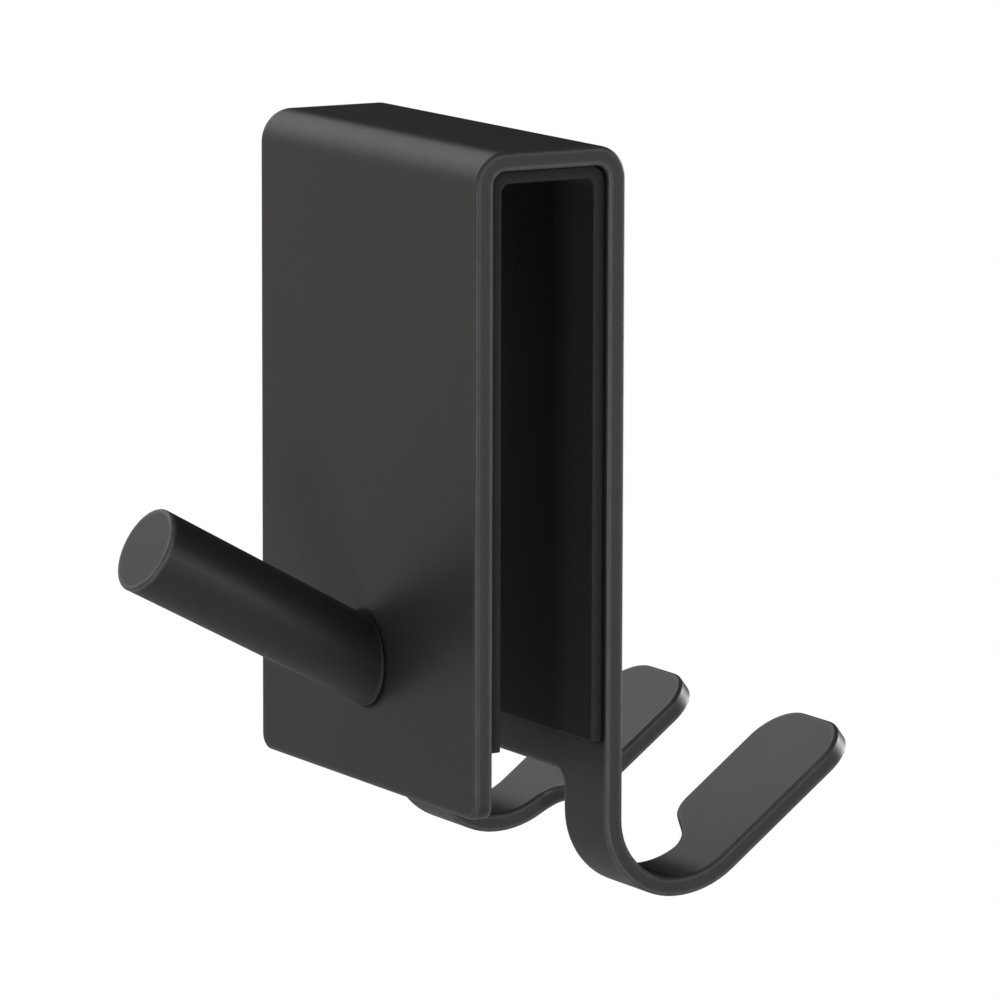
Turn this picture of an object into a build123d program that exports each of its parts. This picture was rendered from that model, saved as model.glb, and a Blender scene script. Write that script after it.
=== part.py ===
from build123d import *
import os
from math import cos, radians, sin

# Over door hook for a frameless glass door, in millimetres and degrees.
# X runs across the hook, -Y points to the peg's side, +Y to the two hooks' side and +Z up.
# The origin is the middle of the seat, the liner's face that rests on the glass door's top edge.

# The door and the liner that grips it
glass_gap = 10.6
liner_wall = 1.35
liner_leg_length = 58.8
liner_inset = 0.7
liner_inner_corner_radius = 1.0
liner_corner_clearance = 0.3
liner_edge_radius = 0.2

# The folded sheet
sheet_thickness = 2.0
bracket_width = 45.0
front_leg_height = 67.5
web_height = 65.1
bend_inner_radius = 1.4
leg_corner_radius = 1.6
outer_edge_radius = 0.4
inner_edge_radius = 0.25

# The two hooks: strips that go down from the web, bend round a cradle and widen into paddles
strip_width = 8.4
strip_drop = 3.9
web_corner_radius = 1.8
cradle_radius = 6.6
cradle_turn = 88.0
lift_radius = 9.0
arm_angle = 37.0
arm_length = 19.5
shoulder_start = 0.2
shoulder_length = 3.1
shoulder_radius = 2.9
paddle_width = 14.2
paddle_corner_radius = 4.7

# The peg, a little wider at its free end, which rises outward from the front leg
peg_tip_diameter = 9.0
peg_root_diameter = 8.4
peg_length = 29.0
peg_rise_angle = 28.5
peg_height = 12.8
peg_tip_edge_radius = 0.3
peg_root_edge_radius = 0.4

# Places that follow from the sizes
top = liner_wall + sheet_thickness
half_width = bracket_width / 2
inner_half_depth = glass_gap / 2 + liner_wall
half_depth = inner_half_depth + sheet_thickness
bend_outer_radius = bend_inner_radius + sheet_thickness
front_leg_end = top - front_leg_height
web_end = top - web_height
cradle_height = web_end - strip_drop
cradle_middle = half_depth + cradle_radius
lift_middle = cradle_middle + (lift_radius - cradle_radius) * cos(radians(cradle_turn))
cut_margin = 1.0
same_place = 0.001


def sheet_line(depth):
    """The fold seen from the side at a depth under the outer face, from the leg's end to the arm tip."""
    roof_height = top - depth
    leg_place = half_depth - depth
    bend_radius = bend_outer_radius - depth
    front = Line((-leg_place, front_leg_end), (-leg_place, roof_height - bend_radius))
    front_bend = JernArc(front @ 1, front % 1, bend_radius, -90)
    roof = Line(front_bend @ 1, (leg_place - bend_radius, roof_height))
    back_bend = JernArc(roof @ 1, roof % 1, bend_radius, -90)
    back = Line(back_bend @ 1, (leg_place, cradle_height))
    cradle = JernArc(back @ 1, back % 1, cradle_radius + depth, cradle_turn)
    lift = JernArc(cradle @ 1, cradle % 1, lift_radius + depth, 90 + arm_angle - cradle_turn)
    arm = PolarLine(lift @ 1, arm_length, direction=lift % 1)
    return Wire([front, front_bend, roof, back_bend, back, cradle, lift, arm])


def strip_gap():
    """The space between the two strips, from the web's lower edge round to the cradle's lowest point."""
    gap_width = bracket_width - 2 * strip_width
    depth_below = cradle_radius + sheet_thickness + strip_drop + cut_margin
    corners = Pos(0, web_end - depth_below / 2) * Rectangle(gap_width, depth_below)
    upper = corners.vertices().group_by(Axis.Y)[-1]
    outline = Plane.XZ * fillet(upper, web_corner_radius)
    start = inner_half_depth - cut_margin
    return extrude(Pos(0, start, 0) * outline, lift_middle - start, dir=(0, 1, 0))


def paddle_gap(arm_plane):
    """The space between the arms, which narrows at two shoulders to leave the paddles wide."""
    strip_edge = half_width - strip_width
    paddle_edge = half_width - paddle_width
    low = -(lift_radius + sheet_thickness) * sin(radians(arm_angle)) - cut_margin
    shoulder_end = shoulder_start + shoulder_length
    high = arm_length + cut_margin
    right = [(strip_edge, low), (strip_edge, shoulder_start)]
    right += [(paddle_edge, shoulder_end), (paddle_edge, high)]
    left = [(-x, along) for x, along in reversed(right)]
    outline = make_face(Polyline(*right, *left, close=True))
    shoulders = [v for v in outline.vertices() if low < v.Y < high]
    rounded = fillet(shoulders, shoulder_radius)
    above = lift_radius / 2
    below = sheet_thickness + cut_margin
    return extrude(arm_plane * Pos(0, 0, -below) * rounded, above + below, dir=arm_plane.z_dir)


def sheet_edges(solid, face_line):
    """The edges that run round one face of the sheet, without the seams where its bends begin."""
    bends = [edge @ 0 for edge in face_line.edges()][1:]

    def flat(point):
        return Vector(0, point.Y, point.Z)

    def on_face(edge):
        return all(face_line.distance_to(flat(edge @ t)) < same_place for t in (0, 0.5, 1))

    def is_seam(edge):
        straight_across = (flat(edge @ 0) - flat(edge @ 1)).length < same_place
        return straight_across and any((flat(edge @ 0) - bend).length < same_place for bend in bends)

    return ShapeList(edge for edge in solid.edges() if on_face(edge) and not is_seam(edge))


def make_bracket():
    """One strip of sheet, cut to its outline, folded over the door and up into the two hooks."""
    outer = sheet_line(0)
    inner = sheet_line(sheet_thickness)
    ends = [Line(outer @ 0, inner @ 0), Line(outer @ 1, inner @ 1)]
    section = Plane.YZ * make_face(outer.edges() + inner.edges() + ends)
    body = extrude(section, half_width, both=True)
    outer_face = Plane.YZ * outer
    inner_face = Plane.YZ * inner
    arm = outer_face.edges()[-1]
    arm_plane = Plane(origin=arm @ 0, x_dir=(1, 0, 0), z_dir=Vector(1, 0, 0).cross(arm % 0))
    body = body - strip_gap() - paddle_gap(arm_plane)
    leg_corners = body.edges().filter_by(Axis.Y).group_by(Axis.Y)[0]
    body = fillet(leg_corners, leg_corner_radius)
    across_arm = body.edges().filter_by(Axis(arm @ 0, arm_plane.z_dir))
    tip_corners = across_arm.sort_by(Axis(arm @ 0, arm % 0))[-4:]
    body = fillet(tip_corners, paddle_corner_radius)
    body = fillet(sheet_edges(body, outer_face), outer_edge_radius)
    return fillet(sheet_edges(body, inner_face), inner_edge_radius)


def make_liner():
    """A U of rubber that fills the fold from wall to wall and stops short of the sheet's side edges."""
    liner_width = bracket_width - 2 * liner_inset
    outside = Pos(0, liner_wall - liner_leg_length / 2) * Rectangle(2 * inner_half_depth, liner_leg_length)
    upper = outside.vertices().group_by(Axis.Y)[-1]
    outside = fillet(upper, bend_inner_radius + liner_corner_clearance)
    inside = Pos(0, -liner_leg_length / 2) * Rectangle(glass_gap, liner_leg_length)
    upper = inside.vertices().group_by(Axis.Y)[-1]
    inside = fillet(upper, liner_inner_corner_radius)
    body = extrude(Plane.YZ * (outside - inside), liner_width / 2, both=True)
    side_faces = body.faces().filter_by(Axis.X)
    leg_ends = body.faces().filter_by(Axis.Z).group_by(Axis.Z)[0]
    rims = (side_faces + leg_ends).edges()
    return fillet(rims, liner_edge_radius)


def make_peg():
    """A round peg whose root is cut to lie flat on the front leg's outer face."""
    root = Vector(0, -half_depth, front_leg_end + peg_height)
    axis = Vector(0, -1, 0).rotate(Axis.X, -peg_rise_angle)
    taper = (peg_tip_diameter - peg_root_diameter) / 2 / peg_length
    sunk = peg_root_diameter
    cone_plane = Plane(origin=root - axis * sunk, x_dir=(1, 0, 0), z_dir=axis)
    start_radius = peg_root_diameter / 2 - taper * sunk
    cone_length = peg_length + sunk
    on_base = (Align.CENTER, Align.CENTER, Align.MIN)
    cone = Cone(start_radius, peg_tip_diameter / 2, cone_length, align=on_base)
    cone = fillet(cone.edges().group_by(Axis.Z)[-1], peg_tip_edge_radius)
    body = split(cone_plane * cone, Plane(origin=root, z_dir=(0, -1, 0)), keep=Keep.TOP)
    root_edge = body.edges().group_by(Axis.Y)[-1]
    return fillet(root_edge, peg_root_edge_radius)


os.makedirs("parts", exist_ok=True)
export_step(make_bracket(), "parts/bracket.step")
export_step(make_liner(), "parts/liner.step")
export_step(make_peg(), "parts/peg.step")
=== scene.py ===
import math

import bpy
import numpy as np
from mathutils import Matrix, Vector

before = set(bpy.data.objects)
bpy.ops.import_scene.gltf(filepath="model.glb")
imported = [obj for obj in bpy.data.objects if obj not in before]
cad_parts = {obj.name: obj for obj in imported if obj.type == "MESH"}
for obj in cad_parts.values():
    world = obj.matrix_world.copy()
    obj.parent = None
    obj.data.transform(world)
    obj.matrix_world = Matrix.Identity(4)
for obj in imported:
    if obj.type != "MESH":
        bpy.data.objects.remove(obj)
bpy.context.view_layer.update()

# The photographer's camera: a long lens in front of the peg's side and the bracket's open side edge,
# a little above the object.
camera_yaw = math.radians(59.79)
camera_pitch = math.radians(9.365)
camera_roll = math.radians(0.148)
camera_place = Vector((0.66398, -0.37938, 0.09086))
camera_lens = 271.471
camera_sensor_width = 36
camera_sees_from = 0.01
camera_sees_to = 50

view = Vector((
    -math.sin(camera_yaw) * math.cos(camera_pitch),
    math.cos(camera_yaw) * math.cos(camera_pitch),
    -math.sin(camera_pitch),
))
level_right = Vector((math.cos(camera_yaw), math.sin(camera_yaw), 0))
level_up = level_right.cross(view)
right = math.cos(camera_roll) * level_right + math.sin(camera_roll) * level_up
up = right.cross(view)
camera = bpy.data.objects.new("camera", bpy.data.cameras.new("camera"))
camera.matrix_world = Matrix.Translation(camera_place) @ Matrix((right, up, -view)).transposed().to_4x4()
camera.data.lens = camera_lens
camera.data.sensor_width = camera_sensor_width
camera.data.clip_start = camera_sees_from
camera.data.clip_end = camera_sees_to
bpy.context.scene.collection.objects.link(camera)
bpy.context.scene.camera = camera
bpy.context.scene.view_settings.view_transform = "Standard"


# The room: a pale matt floor well below the hook, which hangs from a door's edge, and white air around it.
# The floor keeps a faint shadow under the hook and fades to plain white further off, so that no horizon
# shows. The two ends of the fade are distances from the seat, which is the origin.
floor_height = -0.35
floor_half_side = 6.0
floor_grey = 0.86
fade_starts = 0.2
fade_ends = 0.42


def room_floor():
    """A square sheet: its four corners are the half side times plus or minus one, at the floor's height."""
    signs = np.array([(-1, -1), (1, -1), (1, 1), (-1, 1)], float)
    corners = np.column_stack([floor_half_side * signs, np.full(4, floor_height)])
    mesh = bpy.data.meshes.new("floor")
    mesh.from_pydata(corners.tolist(), [], [(0, 1, 2, 3)])
    return bpy.data.objects.new("floor", mesh)


def pale_floor():
    """Matt pale paint, mixed with plain white for camera rays as the distance from the seat grows."""
    material = bpy.data.materials.new("pale floor")
    material.use_nodes = True
    nodes, links = material.node_tree.nodes, material.node_tree.links
    nodes.clear()
    place = nodes.new("ShaderNodeTexCoord")
    distance = nodes.new("ShaderNodeVectorMath")
    distance.operation = "LENGTH"
    fade = nodes.new("ShaderNodeMapRange")
    fade.interpolation_type = "SMOOTHSTEP"
    fade.inputs["From Min"].default_value = fade_starts
    fade.inputs["From Max"].default_value = fade_ends
    ray = nodes.new("ShaderNodeLightPath")
    share = nodes.new("ShaderNodeMath")
    share.operation = "MULTIPLY"
    matt = nodes.new("ShaderNodeBsdfDiffuse")
    matt.inputs["Color"].default_value = (floor_grey, floor_grey, floor_grey, 1)
    white = nodes.new("ShaderNodeEmission")
    mix = nodes.new("ShaderNodeMixShader")
    out = nodes.new("ShaderNodeOutputMaterial")
    links.new(place.outputs["Object"], distance.inputs[0])
    links.new(distance.outputs["Value"], fade.inputs["Value"])
    links.new(fade.outputs["Result"], share.inputs[0])
    links.new(ray.outputs["Is Camera Ray"], share.inputs[1])
    links.new(share.outputs["Value"], mix.inputs["Fac"])
    links.new(matt.outputs["BSDF"], mix.inputs[1])
    links.new(white.outputs["Emission"], mix.inputs[2])
    links.new(mix.outputs["Shader"], out.inputs["Surface"])
    return material


def room_air():
    """White for the camera and black for every other ray, so that all light comes from the lamps."""
    world = bpy.data.worlds.new("room air")
    world.use_nodes = True
    nodes, links = world.node_tree.nodes, world.node_tree.links
    nodes.clear()
    ray = nodes.new("ShaderNodeLightPath")
    dark = nodes.new("ShaderNodeBackground")
    dark.inputs["Color"].default_value = (0, 0, 0, 1)
    white = nodes.new("ShaderNodeBackground")
    white.inputs["Color"].default_value = (1, 1, 1, 1)
    mix = nodes.new("ShaderNodeMixShader")
    out = nodes.new("ShaderNodeOutputWorld")
    links.new(ray.outputs["Is Camera Ray"], mix.inputs["Fac"])
    links.new(dark.outputs["Background"], mix.inputs[1])
    links.new(white.outputs["Background"], mix.inputs[2])
    links.new(mix.outputs["Shader"], out.inputs["Surface"])
    return world


floor = room_floor()
floor.data.materials.append(pale_floor())
bpy.context.scene.collection.objects.link(floor)
bpy.context.scene.world = room_air()


# The lamps: square soft boxes that stand round the hook and face its middle. Each has a direction in
# degrees, round from +X and up from the level, the length of its side in metres, its power in watts
# and, where it isn't white, its colour.
lamp_distance = 1.5
lamp_aim = Vector((0, 0, -0.04))
warm_white = (1.0, 0.95, 0.93)
cool_white = (0.93, 0.95, 1.0)


def soft_box(name, azimuth, elevation, side, power, colour=(1, 1, 1)):
    """A square lamp at the lamps' distance in the given direction, turned to the aim."""
    azimuth = math.radians(azimuth)
    elevation = math.radians(elevation)
    level = math.cos(elevation)
    direction = Vector((level * math.cos(azimuth), level * math.sin(azimuth), math.sin(elevation)))
    light = bpy.data.lights.new(name, "AREA")
    light.shape = "SQUARE"
    light.size = side
    light.energy = power
    light.color = colour
    lamp = bpy.data.objects.new(name, light)
    lamp.location = lamp_aim + lamp_distance * direction
    lamp.rotation_euler = (-direction).to_track_quat("-Z", "Y").to_euler()
    lamp.visible_camera = False
    bpy.context.scene.collection.objects.link(lamp)


soft_box("low left lamp", -150, -3, 0.9, 1.75, warm_white)
soft_box("high left lamp", -150, 29, 0.9, 3.9)
soft_box("far lamp", 180, 35, 0.9, 3.3)
soft_box("side lamp", 0, -5, 0.9, 4.2)
soft_box("back lamp", 30, -5, 0.9, 4.2, cool_white)
soft_box("near lamp", -60, -9, 0.4, 6.6, cool_white)
soft_box("rim lamp", 95, 4, 0.5, 13.0)
soft_box("top lamp", -65, 69, 0.6, 2.7)


# The bracket: one strip of 2 mm steel sheet, punched to its outline, folded over the door and up
# into the two hooks, and powder coated in satin black after the folds and the peg's weld.
coat_colour = (0.031, 0.030, 0.029)
# Painted shade: the near-black that the coat turns to in narrow gaps, such as round the liner and beside
# the peg's root.
coat_painted_gap_shade = (0.004, 0.004, 0.004)
coat_roughness = 0.45
coat_gloss_spread = 0.06
coat_relief = 0.00002
noise_middle = 0.5
ripple_detail = 1.0
speck_detail = 2.0
drift_detail = 4.0
drift_fineness = 0.6
break_detail = 3.0
rays_per_point = 8
edge_rays_free = (0.96, 0.78)
gap_rays_free = (0.92, 0.6)


def new_group(name, inputs, outputs):
    """An empty shader node group with named sockets, each a number or a colour."""
    group = bpy.data.node_groups.new(name, "ShaderNodeTree")
    for direction, sockets in (("INPUT", inputs), ("OUTPUT", outputs)):
        for label, kind in sockets.items():
            group.interface.new_socket(name=label, in_out=direction, socket_type="NodeSocket" + kind)
    return group, group.nodes.new("NodeGroupInput"), group.nodes.new("NodeGroupOutput")


def math_node(tree, operation, first, second):
    """A Math node whose two inputs are numbers or other nodes' outputs."""
    node = tree.nodes.new("ShaderNodeMath")
    node.operation = operation
    for socket, value in zip(node.inputs, (first, second)):
        if isinstance(value, (int, float)):
            socket.default_value = value
        else:
            tree.links.new(value, socket)
    return node.outputs["Value"]


def surface_grain():
    """Height of a sprayed or moulded surface: wide soft ripples, with fine specks over them."""
    inputs = {"Ripples per metre": "Float", "Specks per metre": "Float", "Speck share": "Float"}
    group, start, end = new_group("surface grain", inputs, {"Height": "Float"})
    place = group.nodes.new("ShaderNodeTexCoord")
    layers = []
    for label, detail in (("Ripples per metre", ripple_detail), ("Specks per metre", speck_detail)):
        noise = group.nodes.new("ShaderNodeTexNoise")
        noise.inputs["Detail"].default_value = detail
        group.links.new(place.outputs["Object"], noise.inputs["Vector"])
        group.links.new(start.outputs[label], noise.inputs["Scale"])
        layers.append(noise.outputs["Fac"])
    specks = math_node(group, "MULTIPLY", layers[1], start.outputs["Speck share"])
    group.links.new(math_node(group, "ADD", layers[0], specks), end.inputs["Height"])
    return group


def colour_drift():
    """A colour that drifts a little lighter and darker in wide patches, and a mask of those patches."""
    inputs = {"Colour": "Color", "Patches per metre": "Float", "Spread": "Float"}
    group, start, end = new_group("colour drift", inputs, {"Colour": "Color", "Patches": "Float"})
    place = group.nodes.new("ShaderNodeTexCoord")
    noise = group.nodes.new("ShaderNodeTexNoise")
    noise.inputs["Detail"].default_value = drift_detail
    noise.inputs["Roughness"].default_value = drift_fineness
    group.links.new(place.outputs["Object"], noise.inputs["Vector"])
    group.links.new(start.outputs["Patches per metre"], noise.inputs["Scale"])
    centred = math_node(group, "SUBTRACT", noise.outputs["Fac"], noise_middle)
    change = math_node(group, "MULTIPLY", centred, start.outputs["Spread"])
    factor = math_node(group, "ADD", change, 1.0)
    scale = group.nodes.new("ShaderNodeVectorMath")
    scale.operation = "SCALE"
    group.links.new(start.outputs["Colour"], scale.inputs[0])
    group.links.new(factor, scale.inputs["Scale"])
    group.links.new(scale.outputs["Vector"], end.inputs["Colour"])
    group.links.new(noise.outputs["Fac"], end.inputs["Patches"])
    return group


def edges_and_gaps():
    """Masks of edges and of gaps. Near an edge, short rays cast inward end on another face, and in a gap,
    short rays cast outward end on a neighbour. Each mask grows from 0 to 1 as the share of rays that
    stay free falls from its pair's first value to the second, and noise breaks up the edge mask."""
    inputs = {"Edge reach": "Float", "Gap reach": "Float", "Breaks per metre": "Float"}
    group, start, end = new_group("edges and gaps", inputs, {"Edge": "Float", "Gap": "Float"})
    place = group.nodes.new("ShaderNodeTexCoord")
    noise = group.nodes.new("ShaderNodeTexNoise")
    noise.inputs["Detail"].default_value = break_detail
    group.links.new(place.outputs["Object"], noise.inputs["Vector"])
    group.links.new(start.outputs["Breaks per metre"], noise.inputs["Scale"])
    breaks = math_node(group, "ADD", noise.outputs["Fac"], 1 - noise_middle)
    for label, inward, free_range in (("Edge", True, edge_rays_free), ("Gap", False, gap_rays_free)):
        rays = group.nodes.new("ShaderNodeAmbientOcclusion")
        rays.samples = rays_per_point
        rays.inside = inward
        spread = group.nodes.new("ShaderNodeMapRange")
        spread.inputs["From Min"].default_value = free_range[0]
        spread.inputs["From Max"].default_value = free_range[1]
        group.links.new(start.outputs[label + " reach"], rays.inputs["Distance"])
        group.links.new(rays.outputs["AO"], spread.inputs["Value"])
        mask = spread.outputs["Result"]
        if inward:
            mask = math_node(group, "MULTIPLY", mask, breaks)
        group.links.new(mask, end.inputs[label])
    return group


grain_group = surface_grain()
drift_group = colour_drift()
edge_group = edges_and_gaps()


def blend_colour(tree, share, first, second):
    """A colour that goes from a node's colour to a fixed one as the share goes from 0 to 1."""
    mix = tree.nodes.new("ShaderNodeMix")
    mix.data_type = "RGBA"
    colours = [socket for socket in mix.inputs if socket.type == "RGBA"]
    tree.links.new(share, mix.inputs["Factor"])
    tree.links.new(first, colours[0])
    colours[1].default_value = (*second, 1)
    return [socket for socket in mix.outputs if socket.type == "RGBA"][0]


def finished_surface(name, colours, roughness, grain, drift, edges, relief_height):
    """A material from the three groups: drifting colour, edges painted paler as a highlight and made
    smoother, gaps darkened as painted shade, grain as bump.
    """
    material = bpy.data.materials.new(name)
    material.use_nodes = True
    tree = material.node_tree
    shader = tree.nodes["Principled BSDF"]
    placed = []
    for group, values in ((grain_group, grain), (drift_group, drift), (edge_group, edges)):
        node = tree.nodes.new("ShaderNodeGroup")
        node.node_tree = group
        for label, value in values.items():
            node.inputs[label].default_value = value
        placed.append(node)
    grained, drifted, masked = placed
    drifted.inputs["Colour"].default_value = (*colours["flat"], 1)
    # The edges turn paler, as a painted highlight and in the coat partly for its thinner layer, and the
    # gaps turn near-black as painted shade.
    edge_share = math_node(tree, "MULTIPLY", masked.outputs["Edge"], colours["edge share"])
    gap_shade_share = math_node(tree, "MULTIPLY", masked.outputs["Gap"], colours["gap shade share"])
    edged = blend_colour(tree, edge_share, drifted.outputs["Colour"], colours["edge"])
    tree.links.new(blend_colour(tree, gap_shade_share, edged, colours["gap"]), shader.inputs["Base Color"])
    patches = math_node(tree, "MULTIPLY", drifted.outputs["Patches"], roughness["spread"])
    smoother = math_node(tree, "MULTIPLY", masked.outputs["Edge"], roughness["edge"])
    duller = math_node(tree, "MULTIPLY", masked.outputs["Gap"], roughness["gap"])
    rough = math_node(tree, "ADD", patches, roughness["least"])
    rough = math_node(tree, "SUBTRACT", rough, smoother)
    tree.links.new(math_node(tree, "ADD", rough, duller), shader.inputs["Roughness"])
    relief = tree.nodes.new("ShaderNodeBump")
    relief.inputs["Distance"].default_value = relief_height
    tree.links.new(grained.outputs["Height"], relief.inputs["Height"])
    tree.links.new(relief.outputs["Normal"], shader.inputs["Normal"])
    return material


def powder_coat(name, thin_coat_and_highlight_grey, gap_shade_share):
    """Satin black powder coat over steel, thinner and smoother over the edges, where its paler grey is
    partly the thin coat and partly a painted highlight, with painted shade in its gaps as deep as the gap
    shade share given.
    """
    return finished_surface(
        name,
        colours={
            "flat": coat_colour,
            "edge": (thin_coat_and_highlight_grey, thin_coat_and_highlight_grey, thin_coat_and_highlight_grey),
            "edge share": 0.7,
            "gap": coat_painted_gap_shade,
            "gap shade share": gap_shade_share,
        },
        roughness={
            "least": coat_roughness - coat_gloss_spread / 2,
            "spread": coat_gloss_spread,
            "edge": 0.08,
            "gap": 0.4,
        },
        grain={"Ripples per metre": 420, "Specks per metre": 5200, "Speck share": 0.08},
        drift={"Patches per metre": 55, "Spread": 0.3},
        edges={"Edge reach": 0.0006, "Gap reach": 0.0009, "Breaks per metre": 900},
        relief_height=coat_relief,
    )


def dress(node_name, material):
    """A CAD node keeps its shape and gets one material of its own."""
    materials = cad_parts[node_name].data.materials
    materials.clear()
    materials.append(material)


# The bracket's edges are painted paler, partly for the thin coat and partly as a highlight, and its gaps
# are darkened with painted shade.
dress("bracket", powder_coat("bracket coat", thin_coat_and_highlight_grey=0.15, gap_shade_share=0.95))


# The peg: a turned steel bar, a little thicker at its free end, whose slanting root is welded
# to the front leg. It is coated together with the bracket. The thin pale line round the rim of its root
# is a highlight painted into its paler edges, partly its thinner coat there, and it gets no painted gap
# shade.
dress("peg", powder_coat("peg coat", thin_coat_and_highlight_grey=0.2, gap_shade_share=0.0))


# The liner: a U of moulded black rubber that is glued inside the fold and grips the glass.
# It is duller than the coat, with a finer grain, a faint painted highlight on its edges and painted shade
# in its gaps.
rubber_colour = (0.017, 0.017, 0.018)
# Painted highlight: the slightly paler grey of the rubber's edges. Painted shade: the near-black of its
# narrow gaps.
rubber_painted_edge_highlight = (0.025, 0.025, 0.026)
rubber_painted_gap_shade = (0.003, 0.003, 0.003)
rubber_roughness = 0.7
rubber_gloss_spread = 0.1
rubber_relief = 0.00002


def matt_rubber():
    """Moulded rubber with a fine even grain, a faint painted highlight on its edges and painted shade in
    its gaps.
    """
    return finished_surface(
        "liner rubber",
        colours={
            "flat": rubber_colour,
            "edge": rubber_painted_edge_highlight,
            "edge share": 0.2,
            "gap": rubber_painted_gap_shade,
            "gap shade share": 0.95,
        },
        roughness={
            "least": rubber_roughness - rubber_gloss_spread / 2,
            "spread": rubber_gloss_spread,
            "edge": 0.1,
            "gap": 0.3,
        },
        grain={"Ripples per metre": 900, "Specks per metre": 7000, "Speck share": 0.3},
        drift={"Patches per metre": 90, "Spread": 0.3},
        edges={"Edge reach": 0.0005, "Gap reach": 0.0009, "Breaks per metre": 1200},
        relief_height=rubber_relief,
    )


dress("liner", matt_rubber())
